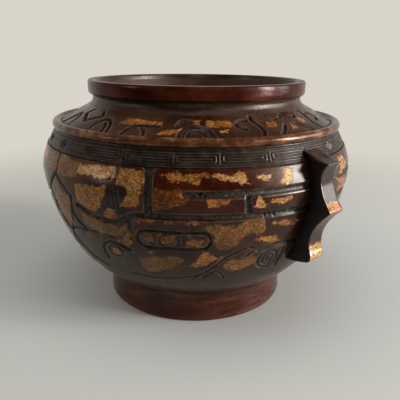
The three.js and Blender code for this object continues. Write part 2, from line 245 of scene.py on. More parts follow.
def stadium(left, right, half_height, half_round):
    """A closed ring with straight sides and round ends, `half_round` degrees deep."""
    turn = np.radians(np.linspace(-90, 90, 9))
    cap = np.stack([np.cos(turn) * half_round, np.sin(turn) * half_height], axis=1)
    ends = np.vstack([cap + right, -cap + left])
    return np.vstack([ends, ends[:1]])


def swirl(middle, reach, turns, steps=14, first=0.08):
    """A spiral that opens out evenly: the reach grows with the share of the way along it."""
    share = np.linspace(first, 1, int(turns * steps))[:, None]
    turn = 2 * math.pi * turns * share
    return np.array(middle) + np.array(reach) * share * np.hstack([np.cos(turn), np.sin(turn)])


# %% [markdown]
# ## The carving of the belly
#
# Each entry is a line as [degrees, height] pairs, read off the unrolled relief, with its kind of cut.
# Broad channels part the panels of the mask, thinner lines draw the crest's leaf, the eye, the link
# with its ring and the spiral by the handle. The lists hold one quarter of the bowl.

# %% Kinds of cut: width and depth, and for a tapering one its two widths
CHANNEL, GROOVE, LINE, HAIRLINE = (2.4, 1.15), (1.4, 0.85), (0.9, 0.6), (0.7, 0.6)
DEEP_LINE, DEEP_GROOVE, SHALLOW_GROOVE = (0.9, 0.85), (1.4, 1.15), (1.4, 0.6)
FRAME, FRAME_TOP, CROSS_BAR, LINK = (2.9, 1.15), ([6.5, 2.9], 1.15), ([1.4, 2.4], 1.15), (1.05, 1.15)
PIT_DEPTH = 1.9

# %% Lines of the belly: points, kind of cut
belly_lines = [
    # the crest's leaf, its halo, the line above it and the stem below
    ([[-1.7, 81], [1.3, 77.4], [6.35, 72]], GROOVE),
    (smooth([[6.35, 72], [5.4, 67.6], [4.1, 62.5], [2.2, 57], [-1.7, 51.5]]), DEEP_LINE),
    (smooth([[6.35, 72], [5.4, 65.5], [6.6, 60], [10.3, 55.9], [4, 54.6], [-1.7, 51.5]]), GROOVE),
    ([[-1.7, 81.6], [-1.7, 91]], GROOVE),
    (smooth([[-1.7, 51.3], [-0.4, 46.5], [4.4, 39.2], [12.6, 34.6]]), GROOVE),
    (smooth([[-1.7, 44.5], [1.2, 39.6], [6.2, 36]]), LINE),
    # the frame of panels beside the crest
    ([[35.8, 91], [35.8, 70]], FRAME),
    ([[35.8, 91.5], [35.8, 88.2]], FRAME_TOP),
    ([[46.2, 80.1], [90, 80.1]], CHANNEL),
    ([[45.6, 80.6], [47, 79.4], [49.2, 79.9]], DEEP_GROOVE),
    ([[64.1, 79.6], [65.2, 70.2]], CROSS_BAR),
    ([[35.8, 69.7], [90, 69.7]], CHANNEL),
    ([[25.5, 91], [24.9, 87.5], [23.6, 84.6]], LINE),
    ([[24.7, 80], [25, 71.6]], LINE),
    ([[26.1, 79], [26.3, 72]], LINE),
    # the jaw's channel, the upright one under it and its lower line
    (smooth([[35.8, 69.7], [31, 69.2], [28, 66.9], [24, 64.8], [19.2, 64.2], [15, 65.4], [9.2, 68.6]]),
     CHANNEL),
    ([[29.2, 67.4], [29.2, 57.4]], CHANNEL),
    (smooth([[10.3, 55.9], [15, 56.4], [21, 56]]), LINE),
    (smooth([[21.5, 56.1], [25.5, 54.4], [27.6, 57.2], [28.7, 61]]), LINE),
    # the eye under the jaw
    (smooth([[15.9, 42], [15.5, 47], [17, 50.5], [20, 52.7], [24, 52.2], [27.5, 50]]), GROOVE),
    (oval([21.2, 48], [2.9, 3.1]), LINE),
    # the link and its ring
    (stadium([34.3, 58.05], [51, 58.05], 4.5, 3.2), LINK),
    (oval([41.4, 58.05], [3, 3.6]), LINE),
    (smooth([[48, 60.6], [51.6, 59.8], [52.4, 58], [50.6, 56.1], [47.5, 55.6]]), HAIRLINE),
    (smooth([[37.3, 60.7], [34.4, 60.1], [33.2, 58.6], [34, 56.6], [36.8, 55.7]]), HAIRLINE),
    # the spiral by the handle, with the bar beside it and the band over it
    (swirl([75.9, 44.9], [5, 6.2], 3), LINE),
    ([[81.6, 50], [81.2, 38.5]], DEEP_LINE),
    (smooth([[70.8, 51.4], [78, 52.4], [90, 51.4]]), CHANNEL),
    ([[66.8, 53.9], [71, 51]], LINE),
    # the sweep along the bottom, with its swirl and ticks
    (smooth([[24, 34.5], [36, 34.6], [46, 36.3], [51, 38.4], [55.5, 42.5], [58, 46.6],
             [61.7, 50.2], [66, 53]]), LINE),
    (smooth([[52, 36.3], [54.6, 38.7], [56.4, 40.2], [58.6, 38.6], [60.2, 35.3]]), LINE),
    ([[48.7, 35.4], [50.8, 37.6]], LINE),
    (smooth([[66, 47.4], [68.3, 50.4], [71, 51.4]]), LINE),
]
pits = [([70.5, 69.1], 1.2), ([71.8, 69.3], 1.0), ([73.7, 69], 1.3), ([50.6, 80.2], 1.5),
        ([51.9, 79.6], 1.1)]  # small casting holes in the channels: place, width
print(len(belly_lines), "lines and", len(pits), "pits on each quarter of the belly")

# %% [markdown]
# ## Gilding
#
# Gold was laid over the raised panels and has worn into ragged islands. A noise texture alone would
# put islands anywhere, so their places are drawn as patches, and the noise only frays their edges.
# The mesh carries three numbers for that: the distance into the nearest patch, the tone of its gold
# from dark to bright, and its warmth from ochre to orange. The gold isn't raised in the mesh: it is
# colour and a slight bump. The quarters that are turned away have the same patches, worn back more.

# %% Patches of gold on the belly: tone (0 dark, 1 bright), warmth (0 ochre, 1 orange), outline
gold_patches = [
    (0.3, 0.3, [[-1.7, 80.5], [-1.7, 89.5], [4, 89.6], [10, 88], [10.3, 82], [6, 80.9]]),
    (0.76, 0.8, [[10.4, 84.4], [10.6, 88.6], [17, 89.4], [25, 89.3], [25.3, 85.4], [20, 83.7],
          [15, 84.6]]),
    (0.55, 0.45, [[25.6, 82.5], [28.5, 81.4], [29.5, 79], [27.5, 75], [26.3, 72.3], [30, 72.6],
          [33.3, 75], [34.3, 84], [34.6, 89.6], [26.2, 89.7]]),
    (0.55, 0.5, [[9.2, 80], [16, 80.2], [22, 81], [21.5, 77], [20, 73.5], [19.5, 70.5], [17, 68.5],
          [10, 69], [9.5, 73]]),
    (0.45, 0.8, [[20, 67], [22.5, 70.5], [24, 71.2], [26, 68.5], [25, 66], [22, 65]]),
    (0.3, 0.35, [[9.2, 66.5], [16, 64], [22, 62.8], [26, 62.7], [28.3, 64.8], [27.8, 62], [25.5, 58.5],
          [22.5, 56.5], [18, 56], [14, 57], [10.5, 60]]),
    (0.35, 0.5, [[22.3, 56], [25.5, 54.5], [28.5, 61], [29.5, 57], [28.5, 53], [26.8, 51], [25, 52.5]]),
    (0.25, 0.3, [[10, 55.5], [15, 53], [8, 50], [6.5, 50.5]]),
    (0.4, 0.8, [[19, 46.5], [20.6, 50.6], [23.4, 49.4], [23.2, 46], [21, 45.2]]),
    (0.5, 0.65, [[38.5, 87.5], [41, 89.2], [50.3, 88.5], [50.3, 84.5], [43, 85.5]]),
    (0.5, 0.8, [[50.5, 87.5], [53, 87.3], [53, 89.3], [50.8, 89.3]]),
    (0.62, 0.45, [[53, 88], [63.5, 88.3], [64.3, 85], [65, 83.8], [58, 85.5]]),
    (0.7, 0.5, [[67.5, 87], [69, 84.3], [71, 85], [72.5, 87.3]]),
    (0.6, 0.1, [[74.5, 84], [75.5, 87], [77, 89.3], [79.6, 88.5], [79, 84.5], [77, 82.3]]),
    (0.19, 1.25, [[37, 82.2], [45.5, 82.5], [47, 80], [48, 77], [46, 75], [42, 73.5], [37.3, 73.3]]),
    (0.5, 0.95, [[52.8, 78.5], [60, 78.3], [59, 75.5], [56, 74.5], [53, 74.3]]),
    (0.6, 0.6, [[68, 78.3], [66, 74], [70.5, 73.2]]),
    (0.6, 0.65, [[71.2, 74], [72, 77.5], [78, 77], [80, 76], [77, 74.5]]),
    (0.4, 0.9, [[31.5, 66.4], [37.5, 66.2], [37.5, 68.2], [32, 68.4]]),
    (0.35, 0.9, [[40, 66.2], [43, 66.3], [43, 68.2], [40, 68.3]]),
    (0.4, 0.8, [[46, 66.2], [51.5, 66], [51.5, 68], [46, 68.3]]),
    (0.3, 0.55, [[51, 65], [54, 66.5], [62, 66], [66, 68.5], [70.5, 67.5], [71, 61.5], [69, 59.5],
          [65, 59.8], [63, 56], [60, 53], [57, 54], [54.5, 57.5], [55.5, 61]]),
    (0.5, 0.8, [[73, 66], [79, 65.5], [84.5, 64], [82, 61.5], [74, 63.5]]),
    (0.5, 0.85, [[68.5, 57.8], [73, 58.8], [76, 57.5], [79.5, 54.5], [77, 53.5], [73, 55]]),
    (0.35, 0.7, [[32.5, 57], [33.5, 60.6], [36.6, 60.8], [36.3, 57]]),
    (0.35, 0.7, [[38.7, 56], [38.9, 60.6], [43.5, 61], [43.4, 56.2]]),
    (0.35, 0.7, [[46, 55.4], [46.8, 59], [53, 58.8], [51.6, 55.4]]),
    (0.42, 0.85, [[52, 53.5], [54, 51.5], [57, 48.5], [53, 44.5], [50, 42.8], [47.5, 44], [49, 47],
          [50.5, 50]]),
    (0.38, 0.6, [[59, 44.5], [61.5, 47], [65, 46.5], [68.5, 48.5], [70.5, 46.5], [71, 42.5], [63, 40],
          [60.5, 41.5]]),
    (0.3, 0.45, [[30, 46.5], [38, 48.5], [42, 49.8], [46, 48.5], [45, 45.5], [41, 42], [37, 39],
          [31.5, 38]]),
    (0.4, 0.7, [[57, 47.2], [57.6, 50], [59.2, 49.6], [59, 47]]),
    (0.4, 0.7, [[34, 50.2], [34.4, 51.8], [36.2, 51.6], [36, 50.2]]),
    (0.42, 0.55, [[-1.7, 78], [1.5, 75.4], [5.2, 71.4], [4.4, 66.5], [3, 61], [0.8, 56], [-1.7, 53.6]]),
]

# %% Patches of gold on the shoulder: tone, warmth, then [degrees, millimetres up the slope]
shoulder_patches = [
    (0.42, 0.85, [[18, 7.4], [20, 11.6], [28, 11.8], [37, 10.4], [36, 8.4], [27, 8.6], [22, 7.2]]),
    (0.42, 0.9, [[36.5, 2.4], [39, 5.6], [44, 6.8], [43.6, 3.4], [40, 2]]),
    (0.45, 0.75, [[53, 7.6], [53.6, 12.2], [63.5, 12], [63, 7.4]]),
    (0.6, 0.4, [[58, 3.2], [59.6, 6], [61, 5.4], [60.4, 3.2]]),
    (0.4, 0.9, [[48, 9.4], [49, 12.8], [51, 12.4], [50.6, 9.2]]),
    (0.45, 0.9, [[77, 5.4], [78.4, 9.8], [83, 9.6], [82.4, 5.2]]),
    (0.45, 0.85, [[88, 2.8], [90, 8], [100, 7.6], [98, 3]]),
]

# %% Two more patches behind the right handle, where the angle is the true one round the bowl
side_patches = [
    (0.6, 0.6, [[105.5, 88], [111, 87.5], [113.5, 83], [110, 79.5], [105, 81]]),
    (0.5, 0.9, [[101.5, 79.2], [114, 76.5], [113, 70], [110, 69], [103.2, 71.5], [104, 75.6]]),
]
print(len(gold_patches) + len(shoulder_patches), "patches of gold on a quarter")
print(len(side_patches), "more behind the handle")

# %% [markdown]
# ## The carving of the shoulder
#
# The sloping shoulder is cut with a chevron over the mask, arches, waves and hooks. It is flat across,
# so its sheet is simply degrees round the bowl and millimetres up the slope from the bead.

# %% Lines of the shoulder: points, kind of cut
shoulder_lines = [
    ([[-1.7, 5.3], [5.5, 10.8], [3.2, 14.2]], GROOVE),
    (smooth([[6.5, 0.5], [7, 5], [9, 8.4], [11.5, 9.3], [14, 7], [15.5, 3], [16, 0.2]]), GROOVE),
    (smooth([[11.3, 6.6], [12.8, 4], [13.6, 0.5]]), GROOVE),
    (smooth([[22.5, 0.5], [24, 4.5], [27, 7.1], [35.5, 7]]), GROOVE),
    (smooth([[28.8, 5.6], [30.4, 3.6], [31, 0.5]]), SHALLOW_GROOVE),
    (smooth([[42, 8.5], [44, 12], [47.5, 11.3]]), LINE),
    (smooth([[43.5, 1], [44, 5], [46, 7], [51, 6.8], [54, 5], [55.5, 0.5]]), GROOVE),
    (smooth([[46.4, 0.4], [47, 3.4], [49.6, 4.4], [52, 3.2], [52.6, 0.4]]), LINE),
    (smooth([[70, 11.6], [66.4, 11], [65, 9], [66, 6.6], [68.2, 5.4]]), GROOVE),
    (smooth([[73, 15], [72.5, 12], [74, 8], [74.7, 4], [73.8, 0.8]]), GROOVE),
    (smooth([[80.5, 15.2], [82.2, 11.3], [84.6, 11.2], [88, 12], [89.6, 14.6]]), LINE),
    (smooth([[86.6, 6.6], [84, 3.2], [81.5, 0.4]]), GROOVE),
]
print(len(shoulder_lines), "lines on each quarter of the shoulder")

# %% [markdown]
# ## The grids
#
# The belly, the shoulder and the fret band are sheets that work in one way. A sheet knows the angle
# of its columns, the distance up the wall of its rows, and how many millimetres a degree is on each
# row. `carve` turns the lists into a depth for every point, and `gild` does the same for the gold.

# %% Sheets and their depth
COLUMNS, BELLY_ROWS, SHOULDER_ROWS = 960, 92, 24
SOFT_EDGE = 0.3  # half the width of a groove's sloping side
WEAR_AND_SHEEN_STRIP = 1.0  # the width of the strip along a groove that is painted paler: rubbed wear and a painted highlight
WEAR_AND_SHEEN_FADE = (0.1, 0.4)  # depths between which that painted highlight and wear end
GOLD_REACH = 4.0  # how far from a patch its distance is still worked out
BELLY_ROUND = 540  # millimetres round the belly, about
FULL_TURN = 6.3  # radians, about


def sheet_of(rows, up, columns=COLUMNS):
    """The angles, distances up the wall and millimetres per degree of a sheet."""
    degrees = np.arange(columns) * 360 / columns
    return {"degrees": degrees, "across": folded(degrees), "up": up, "rows": rows,
            "scale": rows[:, :1] * math.pi / 180}


def step(value, low, high):
    """A soft step: t squared times (3 - 2 t), with t running from 0 at `low` to 1 at `high`."""
    t = np.clip((value - low) / (high - low), 0, 1)
    return t * t * (3 - 2 * t)


def carve(sheet, lines, to_up=lambda height: height):
    """The depth that the lines cut, in millimetres: full inside each line, none past its edge. Also a
    paler strip, most half a millimetre outside an edge: rubbed wear and a painted highlight."""
    depth = np.zeros((len(sheet["up"]), COLUMNS))
    wear_and_painted_light = np.zeros_like(depth)
    for points, (width, full) in lines:
        points = np.array(points, float)
        points[:, 1] = to_up(points[:, 1])
        area = near(sheet, points, np.max(width) / 2 + WEAR_AND_SHEEN_STRIP)
        edge = to_line(sheet, area, points, width)
        depth[area] = np.maximum(depth[area], full * step(-edge, -SOFT_EDGE, SOFT_EDGE))
        strip = 1 - np.clip(np.abs(edge - WEAR_AND_SHEEN_STRIP / 2) / (WEAR_AND_SHEEN_STRIP / 2), 0, 1)
        wear_and_painted_light[area] = np.maximum(wear_and_painted_light[area], strip)
    return depth, wear_and_painted_light * (1 - step(depth, *WEAR_AND_SHEEN_FADE))


def gild(sheet, patches, to_up=lambda height: height):
    """For each point, how far it lies inside the nearest patch of gold (negative outside), and the
    tone and warmth of that patch."""
    gold = np.full((len(sheet["up"]), COLUMNS), -GOLD_REACH)
    tone, warm = np.zeros_like(gold), np.zeros_like(gold)
    for shade, warmth, points in patches:
        points = np.array(points, float)
        points[:, 1] = to_up(points[:, 1])
        area = near(sheet, points, GOLD_REACH)
        depth = patch_depth(sheet, area, points)
        closer = depth > gold[area]
        tone[area] = np.where(closer, shade, tone[area])
        warm[area] = np.where(closer, warmth, warm[area])
        gold[area] = np.maximum(gold[area], depth)
    return {"gold": gold, "tone": tone, "warm": warm}


def ripple(degrees, up, size, seed):
    """A smooth uneven field, mostly between -1 and 1: a third of the sum of six sine waves. Each runs
    in its own direction, round the bowl a whole number of times so that it closes. `size` is about
    the length of the shortest wave in millimetres."""
    rng = np.random.default_rng(seed)
    total = 0
    for _ in range(6):
        waves = rng.integers(1, max(2, int(BELLY_ROUND / size)))
        lean = rng.uniform(-1, 1)
        start = rng.uniform(0, FULL_TURN)
        total = total + np.sin(np.radians(degrees) * waves + up * lean * FULL_TURN / size + start)
    return total / 3


belly_arcs = np.linspace(arc_at(FIELD_LOW_Z), arc_at(FIELD_TOP_Z), BELLY_ROWS)
belly_sheet = sheet_of(belly_rows(height_at(belly_arcs)), belly_arcs)
pit_lines = [([spot, spot], (size, PIT_DEPTH)) for spot, size in pits]
# the second result is the paler strip along the grooves: rubbed wear and a painted highlight
belly_cut, belly_wear_and_sheen = carve(belly_sheet, belly_lines + pit_lines, arc_at)
belly_gilt = gild(belly_sheet, gold_patches, arc_at)
print("belly sheet:", belly_cut.shape, "deepest cut %.2f mm" % belly_cut.max())

slope_length = math.hypot(SHOULDER_R - NECK_FOOT_R, NECK_FOOT_Z - SHOULDER_Z)
shoulder_up = np.linspace(0, slope_length, SHOULDER_ROWS)
slope_direction = np.array([NECK_FOOT_R - SHOULDER_R, NECK_FOOT_Z - SHOULDER_Z]) / slope_length
shoulder_rows = np.hstack([
    np.array([SHOULDER_R, SHOULDER_Z]) + shoulder_up[:, None] * slope_direction,
    np.broadcast_to([slope_direction[1], -slope_direction[0]], (SHOULDER_ROWS, 2)),
])
shoulder_sheet = sheet_of(shoulder_rows, shoulder_up)
shoulder_cut, shoulder_wear_and_sheen = carve(shoulder_sheet, shoulder_lines)
shoulder_gilt = gild(shoulder_sheet, shoulder_patches)
print("shoulder sheet:", shoulder_cut.shape)

# %% [markdown]
# ## The fret band
#
# Under the bead runs a band of nested rectangles, 24 units round the bowl, between border lines. It
# repeats, so it needs no lists: the place within a unit comes from a remainder, and each raised line
# is a distance to a rectangle or a stroke. A slow wave moves the dividers a little to either side,
# because the pattern was cut by hand. Its lines are half a millimetre wide, so its grid is finer.

# %% The fret
FRET_UNITS = 24
FRET_COLUMNS, FRET_ROWS = 1440, 34
FRET_START = 12.0  # degrees: where one unit starts
FRET_DRIFT = 0.6  # degrees: how far the hand strayed to either side
FRET_LINE = 0.45  # how far the lines stand up
FRET_FADE = (-0.45, -0.12)  # a line is gone 0.45 from its middle, and full from 0.12 inwards
FRET_MIDDLE_Z = 94.2
LOOP_GAP, LOOP_HALF = 1.6, 1.25  # a unit's rectangle: from the divider, and half its height
BAR_GAP = 3.3  # from the divider to the bar inside the rectangle
DIVIDER_HALF = 2.2  # half the height of the strokes that part the units
BORDERS = (2.5, -2.45, -3.5)  # the lines that run right round, from the middle
SEAT_Z = (97.2, 97.7)  # where the band steps out to the bead's seat

fret_arcs = np.linspace(arc_at(FIELD_TOP_Z), arc_at(BELLY_TOP_Z), FRET_ROWS)
fret_sheet = sheet_of(belly_rows(height_at(fret_arcs)), fret_arcs, FRET_COLUMNS)


def frame_line(x, y, half_wide, half_high):
    """Distance to the outline of a rectangle that is centred on zero: how far the point is past or
    inside its nearer pair of sides."""
    dx, dy = np.abs(x) - half_wide, np.abs(y) - half_high
    outside = np.hypot(np.maximum(dx, 0), np.maximum(dy, 0))
    return np.abs(outside + np.minimum(np.maximum(dx, dy), 0))


fret_pitch = 360 / FRET_UNITS
by_hand = FRET_DRIFT * np.sin(np.radians(11 * fret_sheet["degrees"] - 2))
fret_turn = (fret_sheet["degrees"] - FRET_START - by_hand) % fret_pitch - fret_pitch / 2
fret_x = fret_turn * fret_sheet["scale"]
fret_y = (fret_arcs - arc_at(FRET_MIDDLE_Z))[:, None] + 0 * fret_x
half_unit = fret_pitch / 2 * fret_sheet["scale"]
fret_edges = np.minimum.reduce([
    frame_line(fret_x, fret_y, half_unit - LOOP_GAP, LOOP_HALF),
    np.hypot(np.maximum(np.abs(fret_x) - half_unit + BAR_GAP, 0), fret_y),
    np.hypot(half_unit - np.abs(fret_x), np.maximum(np.abs(fret_y) - DIVIDER_HALF, 0)),
    *(np.abs(fret_y - border) for border in BORDERS),
])
fret_crest = step(-fret_edges, *FRET_FADE)
fret_seat = RELIEF * step(fret_arcs, *arc_at(SEAT_Z))[:, None]
fret_raise = FRET_LINE * fret_crest + fret_seat
print("fret band:", fret_raise.shape, "with", FRET_UNITS, "units")

# %% [markdown]
# ## From rows to a closed mesh
#
# A mesh of revolution is a grid whose columns wrap round. The relief needs 960 columns and the frets
# 1440, but the hollow and the foot are plain, and giving them as many would spend the budget of
# triangles where nothing is seen. So a band of rows can have fewer columns than the next, and a zip of
# triangles joins a coarse ring to a fine one. Open ends close on a single point at the axis.

# %% Rings, zips and poles
def ring_points(rows, columns, out=0.0):
    """Points on the bowl: radius and height of each row, moved along the row's normal by `out`, then
    turned round the axis. Angle 0 looks to -Y."""
    turn = np.arange(columns) * 2 * math.pi / columns
    radius = rows[:, :1] + out * rows[:, 2:3]
    height = rows[:, 1:2] + out * rows[:, 3:4]
    radius, height, turn = np.broadcast_arrays(radius, height, turn)
    return np.stack([radius * np.sin(turn), -radius * np.cos(turn), height], axis=-1)


def plain_rows(corners):
    """Rows of plain points without a normal, for parts that carry no relief."""
    corners = np.array(corners, float)
    return np.hstack([corners, np.zeros_like(corners)])


def stitch(lower, upper):
    """Quads between two rings of one size, or a zip of triangles between a coarse and a fine one.
    Each coarse corner fans over the fine corners nearest to it."""
    if len(lower) == len(upper):
        return [np.stack([lower, np.roll(lower, -1), np.roll(upper, -1), upper], axis=1)]
    flip = len(lower) > len(upper)
    fine, coarse = (lower, upper) if flip else (upper, lower)
    ratio = len(fine) // len(coarse)
    step_in = np.arange(len(fine)) % ratio
    owner = (np.arange(len(fine)) // ratio + (step_in >= ratio // 2)) % len(coarse)
    fans = np.stack([coarse[owner], np.roll(fine, -1), fine], axis=1)
    middle = fine[np.arange(len(coarse)) * ratio + ratio // 2]
    gaps = np.stack([coarse, np.roll(coarse, -1), middle], axis=1)
    faces = np.vstack([fans, gaps])
    return [faces[:, ::-1] if flip else faces]


def make_mesh(name, points, faces, attributes, skins=None):
    """A mesh object in metres with float attributes on its points, smooth shaded. `skins` gives the
    number of each face's material."""
    mesh = bpy.data.meshes.new(name)
    sizes = np.concatenate([np.full(len(block), block.shape[1]) for block in faces])
    corners = np.concatenate([block.ravel() for block in faces]).astype(np.int32)
    mesh.vertices.add(len(points))
    mesh.vertices.foreach_set("co", (points * MM).astype(np.float32).ravel())
    mesh.loops.add(len(corners))
    mesh.loops.foreach_set("vertex_index", corners)
    mesh.polygons.add(len(sizes))
    starts = np.concatenate([[0], np.cumsum(sizes)[:-1]]).astype(np.int32)
    mesh.polygons.foreach_set("loop_start", starts)
    if skins is not None:
        mesh.polygons.foreach_set("material_index", np.asarray(skins, np.int32))
    mesh.update(calc_edges=True)
    for key, values in attributes.items():
        layer = mesh.attributes.new(key, "FLOAT", "POINT")
        layer.data.foreach_set("value", np.asarray(values, np.float32))
    mesh.shade_smooth()
    piece = bpy.data.objects.new(name, mesh)
    scene.collection.objects.link(piece)
    print(name, "has", int((sizes - 2).sum()), "triangles")
    return piece


NUMBERS = ("sunk", "gold", "tone", "warm", "wear_and_painted_light", "red")  # what the carved skin reads off the mesh


def revolve(name, bands, closed=False):
    """A closed piece from bands of rings: points as rows by columns, the number of the band's
    material, and its attributes. It runs from one pole to the other, or when `closed` joins its
    last ring to its first."""
    points, faces, rings, skins, start = [], [], [], [], 0
    attributes = {key: [] for key in NUMBERS}
    for grid, skin, values in bands:
        rows, columns = grid.shape[:2]
        points.append(grid.reshape(-1, 3))
        rings += [start + np.arange(columns) + r * columns for r in range(rows)]
        skins += [skin] * rows
        for key, kept in attributes.items():
            kept.append(np.broadcast_to(values.get(key, 0.0), (rows, columns)).ravel())
        start += rows * columns
    face_skins = []
    for below, above, skin in zip(rings, rings[1:] + rings[:1] if closed else rings[1:], skins):
        faces += stitch(below, above)
        face_skins.append(np.full(len(faces[-1]), skin))
    points = np.vstack(points)
    attributes = {key: np.concatenate(kept) for key, kept in attributes.items()}
    if not closed:
        for ring, backward in ((rings[0], True), (rings[-1], False)):
            middle = points[ring].mean(axis=0)
            fan = np.stack([np.full(len(ring), len(points)), ring, np.roll(ring, -1)], axis=1)
            faces.append(fan[:, ::-1] if backward else fan)
            face_skins.append(np.full(len(ring), skins[0] if backward else skins[-1]))
            points = np.vstack([points, middle])
            attributes = {key: np.append(kept, kept[ring[0]]) for key, kept in attributes.items()}
    return make_mesh(name, points, faces, attributes, np.concatenate(face_skins))


# %% [markdown]
# ## The belly
#
# The belly piece runs from the middle of the underside, round the foot ring, up the carved wall to
# the step under the fret band, and back down the hollow to the middle of its floor. It is cast with
# the upper part, and the two meshes only part along that step, where the wall has an edge anyway.

# %% Belly and foot
PLAIN_COLUMNS, HOLLOW_COLUMNS = 240, 120
CARVED, POLISHED, BARE, PLAIN, RUBBED, FOOT = range(6)  # the order of the materials on the large pieces
SUNKEN = {"sunk": 1.0, "gold": -GOLD_REACH}  # rows that are neither raised nor gilt
BELLY_SWELL, SHOULDER_SWELL = 0.12, 0.1  # how far the cast surface rises and falls
UPPER_RED, FRET_RED, SHOULDER_RED = 0.4, 0.3, 0.35  # how red the brown is, from 0 to 1

foot_top = FOOT_R - FOOT_TAPER
foot_inside = FOOT_R - FOOT_WALL
under = plain_rows([
    [20, FOOT_HOLLOW], [foot_inside - 2, FOOT_HOLLOW], [foot_inside - 0.6, FOOT_HOLLOW - 0.2],
    [foot_inside, FOOT_HOLLOW - 1], [foot_inside, 6], [foot_inside, 0.7],
    [foot_inside + 0.25, 0.15], [foot_inside + 0.8, 0], [FOOT_R - 1.2, 0],
])
foot = plain_rows([
    [FOOT_R - 0.6, 0.05], [FOOT_R - 0.1, 0.4], [FOOT_R + 0.05, 1], [FOOT_R, 2], [FOOT_R - 0.15, 6],
    [FOOT_R - 0.3, 10], [foot_top, 13.6], [foot_top + 0.15, 14.6], [foot_top + 0.7, 15.2],
])
band_heights = np.array([16.3, 17.2, 18.6, 20.2, 22, 24, 26, 28, 29.6, 30.6, 31.0])
band_sink = RELIEF - 0.25 * step(band_heights, 17, 20) * (1 - step(band_heights, 28, 30.6))
plain_band = belly_rows(band_heights, -band_sink)

turned = belly_sheet["degrees"]
belly_ripple = ripple(turned, belly_arcs[:, None], size=26, seed=5)
belly_out = -belly_cut - BELLY_SWELL * (1 - belly_ripple) / 2

# the gold is worn back further on the quarters that are turned away
belly_away = 1 - step(turned, 2, 3) * (1 - step(turned, 89, 91))
wear = belly_away * (1.2 + 2.6 * ripple(turned, belly_arcs[:, None], size=34, seed=11))
belly_gilt["gold"] = belly_gilt["gold"] - np.where(turned > 345, 0, wear)
side_gilt = gild({**belly_sheet, "across": turned}, side_patches, arc_at)
on_side = side_gilt["gold"] > belly_gilt["gold"]
belly_gilt = {key: np.where(on_side, side_gilt[key], values) for key, values in belly_gilt.items()}

# the framed panels are red, and the upper belly a little
framed = (step(belly_sheet["across"], 33, 36) * (1 - step(belly_sheet["across"], 64, 80))
          * step(belly_arcs, arc_at(69), arc_at(70))[:, None])
belly_red = np.maximum(framed, UPPER_RED * step(belly_arcs, arc_at(46), arc_at(62))[:, None])

step_row = belly_rows(np.array([FIELD_TOP_Z]), -RELIEF)
inner_heights = np.linspace(FIELD_TOP_Z - 1.0, FOOT_HOLLOW + FLOOR_T + WALL, 16)
inner = belly_rows(inner_heights, -RELIEF - WALL)
floor_r = inner[-1, 0]
floor_z = FOOT_HOLLOW + FLOOR_T
floor = plain_rows([[floor_r - 0.6, floor_z + 2], [floor_r - 1.8, floor_z + 0.8], [floor_r - 3.6, floor_z],
                    [25, floor_z], [8, floor_z]])

belly = revolve("belly", [
    (ring_points(under, HOLLOW_COLUMNS), BARE, {}),
    (ring_points(foot, PLAIN_COLUMNS), FOOT, {}),
    (ring_points(plain_band, PLAIN_COLUMNS), PLAIN, {}),
    (ring_points(belly_sheet["rows"], COLUMNS, belly_out), CARVED,
     {**belly_gilt, "sunk": belly_cut, "wear_and_painted_light": belly_wear_and_sheen, "red": belly_red}),
    (ring_points(step_row, COLUMNS), BARE, SUNKEN),
    (ring_points(inner, HOLLOW_COLUMNS), BARE, {}),
    (ring_points(floor, HOLLOW_COLUMNS), BARE, {}),
])

# %% [markdown]
# ## Fret band, bead, shoulder, neck and rim
#
# The upper piece is one ring of metal: up the fret band, round the bead, over the carved shoulder
# and the neck, up the rim band, over the lip and down inside. Its profile closes on itself, so it
# needs no poles. The bead is an arc of a circle, drawn by cosine and sine.

# %% The upper part
bead_turn = np.radians(np.linspace(-58, 128, 12))
bead_r, bead_middle = 2.15, np.array([76.15, 99.95])
bead = plain_rows(bead_middle + bead_r * np.stack([np.cos(bead_turn), np.sin(bead_turn)], axis=1))
crease = plain_rows([[74.2, 100.9], [73.6, 101.15]])
neck = plain_rows([
    [58.9, 109.0], [58.0, 109.8], [57.2, 110.9], [56.75, 112.2], [56.7, 113.2], [57.1, 113.9],
])
band_low = [[RIM_R - 0.9, RIM_Z + 0.05], [RIM_R - 0.35, RIM_Z + 0.5], [RIM_R - 0.05, RIM_Z + 1.3]]
band_side = [[RIM_R, z] for z in np.linspace(RIM_Z + 2.4, HEIGHT - 1.5, 5)]
band_top = [[RIM_R - 0.1, HEIGHT - 0.7], [RIM_R - 0.3, HEIGHT - 0.2], [RIM_R - 0.6, HEIGHT - 0.02]]
rim = plain_rows(band_low + band_side + band_top)
lip = plain_rows([[RIM_R - 1, HEIGHT], [RIM_R - LIP_W + 1, HEIGHT], [RIM_R - LIP_W + 0.3, HEIGHT - 0.25],
                  [RIM_R - LIP_W, HEIGHT - 1]])
neck_inside = NECK_R - WALL
throat = plain_rows([[RIM_R - LIP_W - 0.2, 118.5], [neck_inside + 0.3, 115.5], [neck_inside, 113],
                     [neck_inside + 0.4, 110.2], [neck_inside + 2, 107.6]])
shoulder_under = plain_rows(np.linspace([neck_inside + 5, 105.6], [SHOULDER_R - 2.5, 98.2], 6))
upper_wall = belly_rows(np.linspace(94, FIELD_TOP_Z - 1.0, 4), -RELIEF - WALL)

turned = shoulder_sheet["degrees"]
shoulder_ripple = ripple(turned, shoulder_up[:, None], size=22, seed=8)
shoulder_out = -shoulder_cut - SHOULDER_SWELL * (1 - shoulder_ripple) / 2
shoulder_away = 1 - step(turned, 2, 3) * (1 - step(turned, 100, 104))
shoulder_worn = shoulder_gilt["gold"] - shoulder_away * (0.6 + 2.2 * ripple(turned, 0, size=30, seed=21))
fret_sunk = np.minimum(1.0 - 0.85 * fret_crest, RELIEF - fret_raise + 0.2)

